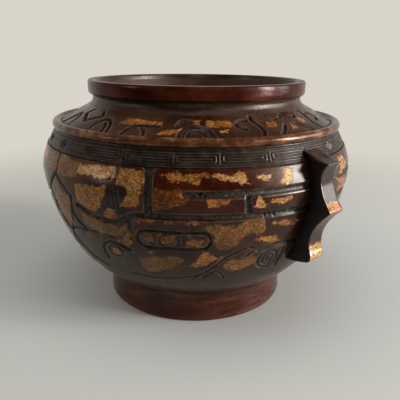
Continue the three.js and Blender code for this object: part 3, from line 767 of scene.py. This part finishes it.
upper_part = revolve("shoulder_and_rim", [
    (ring_points(step_row, FRET_COLUMNS), CARVED, SUNKEN),
    # the fret's crests get the paler strip too: rubbed wear and a painted highlight
    (ring_points(fret_sheet["rows"][1:], FRET_COLUMNS, fret_raise[1:] - RELIEF), CARVED,
     {**SUNKEN, "sunk": fret_sunk[1:], "wear_and_painted_light": 0.9 * fret_crest[1:], "red": FRET_RED}),
    (ring_points(bead, COLUMNS // 2), RUBBED, {}),
    (ring_points(crease, COLUMNS // 2), CARVED, SUNKEN),
    (ring_points(shoulder_sheet["rows"], COLUMNS, shoulder_out), CARVED,
     {**shoulder_gilt, "gold": shoulder_worn, "sunk": shoulder_cut, "wear_and_painted_light": shoulder_wear_and_sheen,
      "red": SHOULDER_RED}),
    (ring_points(neck, PLAIN_COLUMNS), PLAIN, {}),
    (ring_points(rim, PLAIN_COLUMNS), POLISHED, {}),
    (ring_points(lip, PLAIN_COLUMNS), PLAIN, {}),
    (ring_points(throat, HOLLOW_COLUMNS), BARE, {}),
    (ring_points(shoulder_under, HOLLOW_COLUMNS), BARE, {}),
    (ring_points(upper_wall, HOLLOW_COLUMNS), BARE, {}),
], closed=True)

# %% [markdown]
# ## The handles
#
# Each handle is a thick plate, cast with the bowl, whose outer edge is scooped twice between three
# cusps. Its outline is a chain of curves in the plane of the plate. The plate is a stack of copies
# of that outline: the outer copies are drawn in a little, which rounds the edges as casting and
# handling do. Its root stands in the middle of the bowl's wall.

# %% Handle outline
HANDLE_T = 10.6


def scoop(start, control, end, steps=20):
    """A quadratic Bezier curve: start, control and end weighted by the terms of (1 - t + t) squared."""
    t = np.linspace(0, 1, steps, endpoint=False)[:, None]
    start, control, end = (np.array(corner, float) for corner in (start, control, end))
    return start * (1 - t) ** 2 + 2 * control * t * (1 - t) + end * t**2


root = belly_rows(np.linspace(38.9, 96.4, 28), -RELIEF - WALL / 2)[:, :2]
handle_edge = np.vstack([
    scoop(root[-1], [82.5, 94.2], [85.6, 92.3], 8),
    scoop([85.6, 92.3], [87.6, 91.2], [92.3, 90.7], 8),
    scoop([92.3, 90.7], [85, 82.4], [95.5, 69.7], 26),
    scoop([95.5, 69.7], [95.7, 69.2], [95.1, 68.6], 4),
    scoop([95.1, 68.6], [82.5, 57], [87.5, 46.4], 26),
    scoop([87.5, 46.4], [88, 42.8], [84.6, 42.2], 10),
    scoop([84.6, 42.2], [79, 40.4], root[0], 10),
])
print("handle edge:", len(handle_edge), "points")


# %% Handle meshes
def inward(points):
    """The direction square to a chain of points, towards the wall: the mean of its edges' normals."""
    along = np.gradient(points, axis=0)
    along /= np.linalg.norm(along, axis=1)[:, None]
    return np.stack([along[:, 1], -along[:, 0]], axis=1)


def handle(name, side):
    """A grid of level cuts through the plate. Each cut is a loop: from the root along one face to
    the edge, round it, and back along the other face. The loop's points sit `inset` in from the edge
    and `across` the thickness, or part of the way back to the root. `side` is 1 at +X, -1 at -X."""
    across = np.array([-0.5, -0.487, -0.46, -0.42, -0.3, -0.15, 0, 0.15, 0.3, 0.42, 0.46, 0.487, 0.5])
    inset = np.array([0.7, 0.36, 0.12, 0, 0, 0, 0, 0, 0, 0, 0.12, 0.36, 0.7])
    back = np.array([1, 0.66, 0.33])
    edge = handle_edge[:, None] + inset[:, None] * inward(handle_edge)[:, None]
    rooted = np.interp(handle_edge[:, 1], root[:, 1], root[:, 0])[:, None, None]
    face = edge[:, :1]
    faces_back = np.concatenate([face[..., :1] * (1 - back[:, None]) + rooted * back[:, None],
                                 np.repeat(face[..., 1:], 3, axis=1)], axis=-1)
    loop = np.concatenate([faces_back, edge, faces_back[:, ::-1]], axis=1)
    depth = np.concatenate([[-0.5] * 3, across, [0.5] * 3]) * HANDLE_T
    cuts, around = loop.shape[:2]
    sideways = np.broadcast_to(depth * side, (cuts, around))
    points = np.stack([loop[..., 0] * side, sideways, loop[..., 1]], axis=-1)
    index = np.arange(cuts * around).reshape(cuts, around)
    over = np.roll(index, -1, axis=1)
    faces = [np.stack([index[1:], over[1:], over[:-1], index[:-1]], axis=-1).reshape(-1, 4)]
    faces += [index[0][::-1][None, :], index[-1][None, :]]
    points = points.reshape(-1, 3)
    height, reach = points[:, 2], np.abs(points[:, 0])
    on_edge = 1 - step(np.abs(points[:, 1]), 4.6, 5.3)
    cusps = np.maximum(step(height, 66, 68) * (1 - step(height, 72, 75.5)) * step(reach, 91, 92.5),
                       step(height, 42, 43) * (1 - step(height, 50, 53)) * step(reach, 83, 85))
    return make_mesh(name, points, faces, {"edge": on_edge, "gold": 4 * cusps * on_edge - 2.5,
                                           "tone": 0.85 - 0.35 * step(height, 60, 64),
                                           "warm": 0.3 + 0.4 * step(height, 48, 52)})


handle_right = handle("handle_right", 1)
handle_left = handle("handle_left", -1)

# %% [markdown]
# ## Materials
#
# All of it is patinated bronze, but with seven finishes: the carved skin, five plain ones and the
# handles' own. The materials are node graphs that mix noise with the numbers on the mesh. Every
# pattern uses object coordinates in metres, so a scale of 300 means spots of about three
# millimetres. Two small classes keep the graphs short enough to read, and the room uses one of them.

# %% Helpers for node graphs
class Graph:
    """A tree of nodes that are added in short lines."""

    def __init__(self, tree):
        self.nodes, self.links = tree.nodes, tree.links

    def put(self, socket, value):
        """Sets a socket to a number or colour, or links another socket to it."""
        if value is None:
            return
        if isinstance(value, bpy.types.NodeSocket):
            self.links.new(value, socket)
        else:
            socket.default_value = value

    def ramp(self, value, low, high, start=0.0, end=1.0):
        """A soft step of a value from `low` to `high`, given as a number from `start` to `end`."""
        node = self.nodes.new("ShaderNodeMapRange")
        node.interpolation_type = "SMOOTHSTEP"
        names = ("Value", "From Min", "From Max", "To Min", "To Max")
        for key, number in zip(names, (value, low, high, start, end)):
            self.put(node.inputs[key], number)
        return node.outputs["Result"]


class Paint(Graph):
    """A material's graph: noise and the mesh's numbers, mixed into the shader."""

    def __init__(self, name):
        self.material = bpy.data.materials.new(name)
        self.material.use_nodes = True
        super().__init__(self.material.node_tree)
        self.shader = self.nodes["Principled BSDF"]
        self.place = self.nodes.new("ShaderNodeTexCoord").outputs["Object"]

    def give(self, name, value):
        """Sets one of the shader's inputs."""
        self.put(self.shader.inputs[name], value)

    def number(self, name):
        """A number that the mesh carries."""
        node = self.nodes.new("ShaderNodeAttribute")
        node.attribute_name = name
        return node.outputs["Fac"]

    def noise(self, scale, detail=3.0, stretch=(1, 1, 1), roughness=0.55):
        """A cloudy pattern from 0 to 1, with spots about one metre over `scale` wide."""
        mapping = self.nodes.new("ShaderNodeMapping")
        mapping.inputs["Scale"].default_value = stretch
        self.links.new(self.place, mapping.inputs["Vector"])
        node = self.nodes.new("ShaderNodeTexNoise")
        node.inputs["Scale"].default_value = scale
        node.inputs["Detail"].default_value = detail
        node.inputs["Roughness"].default_value = roughness
        self.links.new(mapping.outputs["Vector"], node.inputs["Vector"])
        return node.outputs["Fac"]

    def sum(self, operation, first, second, third=None):
        """One Math node: the operation on two or three numbers or sockets."""
        node = self.nodes.new("ShaderNodeMath")
        node.operation = operation
        for socket, value in zip(node.inputs, (first, second, third)):
            self.put(socket, value)
        return node.outputs[0]

    def colours(self, value, stops):
        """A colour ramp: each stop is a place from 0 to 1 and a linear colour."""
        node = self.nodes.new("ShaderNodeValToRGB")
        band = node.color_ramp
        while len(band.elements) < len(stops):
            band.elements.new(0.5)
        for element, (place, colour) in zip(band.elements, stops):
            element.position = place
            element.color = (*colour, 1)
        self.links.new(value, node.inputs["Fac"])
        return node.outputs["Color"]

    def mix(self, share, first, second, kind="RGBA"):
        """The first value where the share is 0 and the second where it is 1."""
        node = self.nodes.new("ShaderNodeMix")
        node.data_type = kind
        put_in = [socket for socket in node.inputs if socket.enabled]
        for socket, value in zip(put_in, (share, first, second)):
            if isinstance(value, tuple):
                value = (*value, 1)
            self.put(socket, value)
        return next(socket for socket in node.outputs if socket.enabled)

    def bump(self, height, distance, strength=1.0):
        """Shading that follows a height pattern, `distance` metres deep."""
        node = self.nodes.new("ShaderNodeBump")
        node.inputs["Strength"].default_value = strength
        node.inputs["Distance"].default_value = distance
        self.put(node.inputs["Height"], height)
        return node.outputs["Normal"]


# %% [markdown]
# ### Carved bronze
#
# The raised panels have a dark skin with a gloss like lacquer, brown for the most part and red in the
# framed panels. Whatever lies deeper than about a third of a millimetre is dull, from black to
# grey-brown, and the broad channels are pitted as they were cast. The small casting holes are painted
# near black, a painted shade inside them. Beside the grooves the skin is painted paler: rubbed wear,
# and a painted highlight where the edges catch the light. The gold is laid on top: a point is gilt
# where its distance into a patch, plus a frayed noise, is above zero.

# %% Carved bronze: each colour ramp is a list of places with linear colours
OCHRE = [(0.0, (0.05, 0.034, 0.017)), (0.25, (0.11, 0.066, 0.022)), (0.5, (0.22, 0.12, 0.02)),
         (0.75, (0.38, 0.22, 0.055)), (1.0, (0.55, 0.4, 0.22))]
ORANGE = [(0.0, (0.06, 0.018, 0.007)), (0.25, (0.13, 0.036, 0.008)), (0.5, (0.3, 0.09, 0.014)),
          (0.75, (0.47, 0.2, 0.06)), (1.0, (0.58, 0.37, 0.22))]
BROWN_SKIN = [(0.36, (0.015, 0.007, 0.004)), (0.5, (0.03, 0.015, 0.0075)), (0.64, (0.06, 0.034, 0.017))]
RED_SKIN = [(0.36, (0.014, 0.002, 0.001)), (0.5, (0.027, 0.003, 0.001)), (0.64, (0.048, 0.01, 0.003))]
HOLLOW = [(0.35, (0.007, 0.0045, 0.003)), (0.55, (0.019, 0.012, 0.008)), (0.75, (0.06, 0.043, 0.03))]
PITTED = [(0.38, (0.008, 0.005, 0.0035)), (0.5, (0.024, 0.017, 0.012)), (0.64, (0.09, 0.074, 0.057))]
PATINA_GLOSS = 0.22


def gold_leaf(paint, gold, tone, warm):
    """Where the gold lies and its colour. A point is gilt where its distance into a patch plus a
    frayed noise is above zero, less the holes worn through it. Its colour is a mix of an ochre and an
    orange ramp by its warmth, and the tone moves along both; cloudy noise shifts warmth and tone."""
    fringe = paint.sum("MULTIPLY_ADD", paint.noise(430, 6, (1, 1, 1.7), 0.8), 5.0, -2.5)
    bays = paint.sum("MULTIPLY_ADD", paint.noise(160, 3), 5.0, -2.6)
    reach = paint.sum("ADD", gold, paint.sum("ADD", fringe, bays))
    flecks = paint.noise(950, 6, (1, 1, 1.8), 0.8)
    thin = paint.noise(240, 4, (1, 1, 1.5), 0.7)
    cover = paint.sum("MULTIPLY", paint.ramp(reach, -0.15, 0.35), paint.ramp(flecks, 0.4, 0.52, 0.2, 1))
    cover = paint.sum("MULTIPLY", cover, paint.ramp(thin, 0.3, 0.42, 0.4, 1))
    dust = paint.sum("MULTIPLY", paint.ramp(gold, -3, 0.5, 0, 0.6), paint.ramp(flecks, 0.55, 0.68))
    cover = paint.sum("MAXIMUM", cover, dust)
    grain = paint.ramp(paint.noise(620, 5, (1, 1, 1.7), 0.8), 0.34, 0.66, -0.24, 0.24)
    clouds = paint.ramp(paint.noise(120, 3), 0.35, 0.65, -0.1, 0.1)
    shade = paint.sum("ADD", paint.sum("ADD", tone, grain), clouds)
    tint = paint.ramp(paint.noise(210, 5, (1, 1, 1.3), 0.7), 0.36, 0.64, -0.5, 0.5)
    warmth = paint.sum("ADD", warm, tint)
    return cover, paint.mix(warmth, paint.colours(shade, OCHRE), paint.colours(shade, ORANGE))


def carved_bronze():
    """The carved skin: brown or red by `red`, hollow where `sunk`, painted paler along the grooves as wear
    and a painted highlight, and gilt.
    """
    paint = Paint("carved_bronze")
    sunk, gold, tone, warm, wear_and_painted_light, red = (paint.number(key) for key in NUMBERS)
    clouds = paint.noise(38, 3)
    mottle = paint.noise(260, 4)
    grain = paint.noise(1400, 3)
    pitting = paint.noise(650, 5, (1, 1, 1), 0.75)
    panel = paint.mix(red, paint.colours(clouds, BROWN_SKIN), paint.colours(clouds, RED_SKIN))
    panel = paint.mix(paint.ramp(mottle, 0.5, 0.75, 0, 0.5), panel, (0.035, 0.018, 0.01))
    # the groove edges are painted paler: rubbed wear, and a painted highlight where the edges catch the
    # light
    edge = paint.sum("MULTIPLY", wear_and_painted_light, paint.ramp(mottle, 0.35, 0.6, 0.1, 0.7))
    panel = paint.mix(edge, panel, (0.13, 0.085, 0.06))
    pitted = paint.ramp(sunk, 1.0, 1.12)
    hollow = paint.mix(pitted, paint.colours(mottle, HOLLOW), paint.colours(pitting, PITTED))
    # the casting holes are painted near black: a painted shade inside them
    pit = paint.ramp(sunk, 1.2, 1.45)
    hollow = paint.mix(pit, hollow, (0.002, 0.001, 0.001))
    depth = paint.ramp(paint.sum("ADD", sunk, paint.ramp(mottle, 0, 1, -0.15, 0.15)), 0.12, 0.4)
    cover, colour = gold_leaf(paint, gold, tone, warm)
    paint.give("Base Color", paint.mix(cover, paint.mix(depth, panel, hollow), colour))
    paint.give("Metallic", 0.1)
    hollow_rough = paint.ramp(pitting, 0.4, 0.6, 0.48, 0.36)
    rough = paint.mix(depth, paint.ramp(mottle, 0.3, 0.7, 0.15, 0.27), hollow_rough, "FLOAT")
    rough = paint.mix(edge, rough, 0.2, "FLOAT")
    rough = paint.mix(pit, rough, 0.9, "FLOAT")
    paint.give("Roughness", paint.mix(cover, rough, 0.25, "FLOAT"))
    paint.give("Specular IOR Level", PATINA_GLOSS)
    height = paint.sum("ADD", paint.sum("MULTIPLY", mottle, 0.6), paint.sum("MULTIPLY", grain, 0.4))
    height = paint.sum("ADD", height, paint.sum("MULTIPLY", cover, 0.35))
    cast_pits = paint.sum("MULTIPLY", paint.ramp(sunk, 0.95, 1.1), pitting)
    height = paint.sum("MULTIPLY_ADD", cast_pits, 1.5, height)
    paint.give("Normal", paint.bump(height, 0.00014, 0.7))
    return paint.material


# %% [markdown]
# ### Plain bronze
#
# The rim is polished to a deep red-brown by hands, the foot a little less, and the bead is rubbed
# until paler metal shows in spots. The neck, the lip and the band over the foot are duller and
# greyer, and the hollow is bare and rough. They differ in colour, clouds, gloss, roughness and bump
# only, so one function makes all five.

# %% Plain bronze
def plain_bronze(name, stops, gloss, scale, stretch, rough, depth):
    """Bronze without relief: clouds of `stops` colours, a roughness range and a shallow bump."""
    paint = Paint(name)
    clouds = paint.noise(scale, 5, stretch, 0.6)
    grain = paint.noise(900, 4)
    colour = paint.colours(clouds, stops)
    dark = tuple(0.35 * channel for channel in stops[0][1])
    colour = paint.mix(paint.ramp(grain, 0.58, 0.72, 0, 0.8), colour, dark)
    paint.give("Base Color", colour)
    paint.give("Metallic", 0.2)
    paint.give("Roughness", paint.ramp(clouds, 0.3, 0.7, *rough))
    paint.give("Specular IOR Level", gloss)
    paint.give("Normal", paint.bump(paint.sum("ADD", clouds, grain), depth, 0.5))
    return paint.material


# colours, gloss, scale and stretch of the clouds, range of the roughness, depth of the bump in metres
plain_finishes = {
    "polished_bronze": (
        [(0.32, (0.02, 0.003, 0.0015)), (0.5, (0.042, 0.006, 0.0025)), (0.68, (0.08, 0.018, 0.007))],
        0.15, 55, (1, 1, 2.2), (0.15, 0.26), 0.0001),
    "bare_bronze": (
        [(0.35, (0.04, 0.02, 0.013)), (0.6, (0.064, 0.034, 0.022))],
        0.2, 70, (1, 1, 1), (0.5, 0.65), 0.0002),
    "dull_bronze": (
        [(0.3, (0.024, 0.01, 0.006)), (0.5, (0.046, 0.024, 0.015)), (0.7, (0.085, 0.056, 0.041))],
        0.22, 60, (1, 1, 9), (0.22, 0.36), 0.00022),
    "rubbed_bronze": (
        [(0.33, (0.03, 0.008, 0.004)), (0.5, (0.09, 0.031, 0.012)), (0.66, (0.2, 0.09, 0.036))],
        0.25, 160, (1, 1, 1.5), (0.14, 0.25), 0.00012),
    "foot_bronze": (
        [(0.32, (0.024, 0.006, 0.003)), (0.5, (0.05, 0.013, 0.006)), (0.68, (0.1, 0.035, 0.018))],
        0.25, 60, (1, 1, 5), (0.15, 0.26), 0.00012),
}
skins = [carved_bronze()]
for name, finish in plain_finishes.items():
    skins.append(plain_bronze(name, *finish))
for piece in (belly, upper_part):
    for skin in skins:
        piece.data.materials.append(skin)
print("materials:", [skin.name for skin in skins])

# %% [markdown]
# ### Handle bronze
#
# The flat faces of a handle are painted almost black, a painted shade for the shadow they lie in,
# and its scooped edge is rubbed brown, with gold on the middle cusp and on the lobe at the bottom,
# which are what a hand meets first.

# %% Handle bronze
def handle_bronze():
    """Faces painted near black as a painted shade, a brown edge where `edge` is 1, and gold where `gold`
    is above zero.
    """
    paint = Paint("handle_bronze")
    edge, gold, tone, warm = (paint.number(name) for name in ("edge", "gold", "tone", "warm"))
    mottle = paint.noise(240, 4)
    # the faces' near-black colour is a painted shade, standing for the shadow on the flat faces
    face = paint.colours(mottle, [(0.35, (0.003, 0.001, 0.0008)), (0.7, (0.008, 0.003, 0.002))])
    # the edge keeps a rubbed brown, paler than the faces' painted shade
    wear_and_painted_light = paint.colours(mottle, [(0.35, (0.018, 0.009, 0.006)), (0.7, (0.055, 0.028, 0.019))])
    cover, colour = gold_leaf(paint, gold, tone, warm)
    paint.give("Base Color", paint.mix(cover, paint.mix(edge, face, wear_and_painted_light), colour))
    paint.give("Metallic", paint.ramp(cover, 0, 1, 0.15, 0.35))
    polish = paint.ramp(mottle, 0.3, 0.7, 0.15, 0.28)
    paint.give("Roughness", paint.mix(edge, 0.5, polish, "FLOAT"))
    paint.give("Specular IOR Level", 0.28)
    paint.give("Normal", paint.bump(mottle, 0.00012, 0.5))
    return paint.material


handle_skin = handle_bronze()
for piece in (handle_right, handle_left):
    piece.data.materials.append(handle_skin)
for piece in (belly, upper_part, handle_right, handle_left):
    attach(piece, "root")
    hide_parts("bowl")
print(handle_skin.name, "on both handles")

# %% [markdown]
# ## Floor
#
# The floor is plain and pale. A hard far edge or a horizon would cross the picture behind the bowl,
# so the floor fades out with its distance from the middle, and the pale room shows through it. The
# bowl's shadow and the light that the floor throws back up both fall on the part that stays.

# %% The floor
FLOOR_REACH = (0.17, 0.5)  # metres from the middle: where the floor starts to fade, and where it ends

floor_mesh = bpy.data.meshes.new("floor")
floor_mesh.from_pydata([(-1, -1, 0), (1, -1, 0), (1, 1, 0), (-1, 1, 0)], [], [(0, 1, 2, 3)])
studio_floor = bpy.data.objects.new("floor", floor_mesh)
scene.collection.objects.link(studio_floor)
floor_paint = Paint("pale_floor")
middle_distance = floor_paint.nodes.new("ShaderNodeVectorMath")
middle_distance.operation = "LENGTH"
floor_paint.links.new(floor_paint.place, middle_distance.inputs[0])
fade_out = floor_paint.ramp(middle_distance.outputs["Value"], *FLOOR_REACH, 1.0, 0.0)
floor_paint.give("Alpha", fade_out)
floor_paint.give("Base Color", (0.42, 0.42, 0.4, 1))
floor_paint.give("Roughness", 0.6)
floor_mesh.materials.append(floor_paint.material)

# %% [markdown]
# ## Light
#
# A bowl with a gloss shows its room as much as itself. A tall bright window stands at the right,
# where the marks on the rim, the bead and the belly say that it is, with a weaker one farther round
# for the handle's scoops and a wide dim one that softens both. A small one stands at the left. Two
# large lights, overhead and at the left, brighten the floor and the shoulder and are kept out of the
# gloss. The rest is the room: pale behind the bowl, dim in front and overhead, so that the red of the
# rim and of the panels stays deep. The camera itself sees a plain pale backdrop.

# %% The windows
BOWL_MIDDLE = Vector((0, 0, 0.07))  # metres


def window(name, degrees, height, distance, size, power, tint=(1, 1, 1)):
    """A rectangular light, `degrees` round from the camera's side, turned to the bowl's middle. The
    height, distance and size are metres, and the power is watts."""
    data = bpy.data.lights.new(name, "AREA")
    data.shape = "RECTANGLE"
    data.size, data.size_y = size
    data.energy = power
    data.color = tint
    light = bpy.data.objects.new(name, data)
    turn = CAMERA_TURN + math.radians(degrees)
    place = Vector((math.sin(turn) * distance, -math.cos(turn) * distance, height))
    aim = BOWL_MIDDLE - place
    light.matrix_world = Matrix.Translation(place) @ aim.to_track_quat("-Z", "Y").to_matrix().to_4x4()
    scene.collection.objects.link(light)
    return light


window("window_right", 73, 0.3, 0.9, (0.19, 0.48), 12.5, (1.0, 0.99, 0.98))
window("window_beyond", 93, 0.25, 0.9, (0.25, 0.4), 2.4, (1.0, 0.99, 0.98))
window("window_right_wall", 64, 0.35, 1.0, (0.7, 0.6), 2.2, (1.0, 0.95, 0.9))
window("window_left", -66, 0.35, 1.2, (0.2, 0.3), 1.0, (1.0, 0.97, 0.93))
overhead = window("overhead", 0, 1.2, 0.15, (0.9, 0.9), 5.5)
fill_left = window("fill_left", -85, 0.7, 0.8, (0.8, 0.8), 4.6, (1.0, 0.97, 0.93))
for soft_light in (overhead, fill_left):
    soft_light.visible_glossy = False  # they light the floor and the shoulder, unseen in the gloss

# %% The room
BACKDROP = (0.69, 0.66, 0.585)
WALL_LIGHT, FRONT_LIGHT, CEILING_LIGHT = 0.62, 0.015, 0.13
DARK_SIDE = CAMERA_TURN + math.radians(-18)  # the direction in which the room is dimmest
SIDE_FADE, CEILING_FADE = (-0.35, 0.95), (0.15, 0.75)  # how far that way, and how high, the light fades
ROOM_TINT = (1, 0.96, 0.89)

world = bpy.data.worlds.new("room")
world.use_nodes = True
room = Graph(world.node_tree)

direction = room.nodes.new("ShaderNodeTexCoord").outputs["Generated"]
towards = room.nodes.new("ShaderNodeVectorMath")
towards.operation = "DOT_PRODUCT"
room.put(towards.inputs[0], direction)
room.put(towards.inputs[1], (math.sin(DARK_SIDE), -math.cos(DARK_SIDE), 0))
upright = room.nodes.new("ShaderNodeSeparateXYZ")
room.put(upright.inputs["Vector"], direction)
walls = room.ramp(towards.outputs["Value"], *SIDE_FADE, WALL_LIGHT, FRONT_LIGHT)
strength = room.ramp(upright.outputs["Z"], *CEILING_FADE, walls, CEILING_LIGHT)

lit = room.nodes["Background"]
room.put(lit.inputs["Color"], (*ROOM_TINT, 1))
room.put(lit.inputs["Strength"], strength)
shown = room.nodes.new("ShaderNodeBackground")
room.put(shown.inputs["Color"], (*BACKDROP, 1))
camera_ray = room.nodes.new("ShaderNodeLightPath").outputs["Is Camera Ray"]
chosen = room.nodes.new("ShaderNodeMixShader")
for socket, output in zip(chosen.inputs, (camera_ray, lit.outputs[0], shown.outputs[0])):
    room.put(socket, output)
room.put(room.nodes["World Output"].inputs["Surface"], chosen.outputs[0])
scene.world = world
scene.view_settings.view_transform = "Standard"
print("room: walls at", WALL_LIGHT, "front at", FRONT_LIGHT, "ceiling at", CEILING_LIGHT)
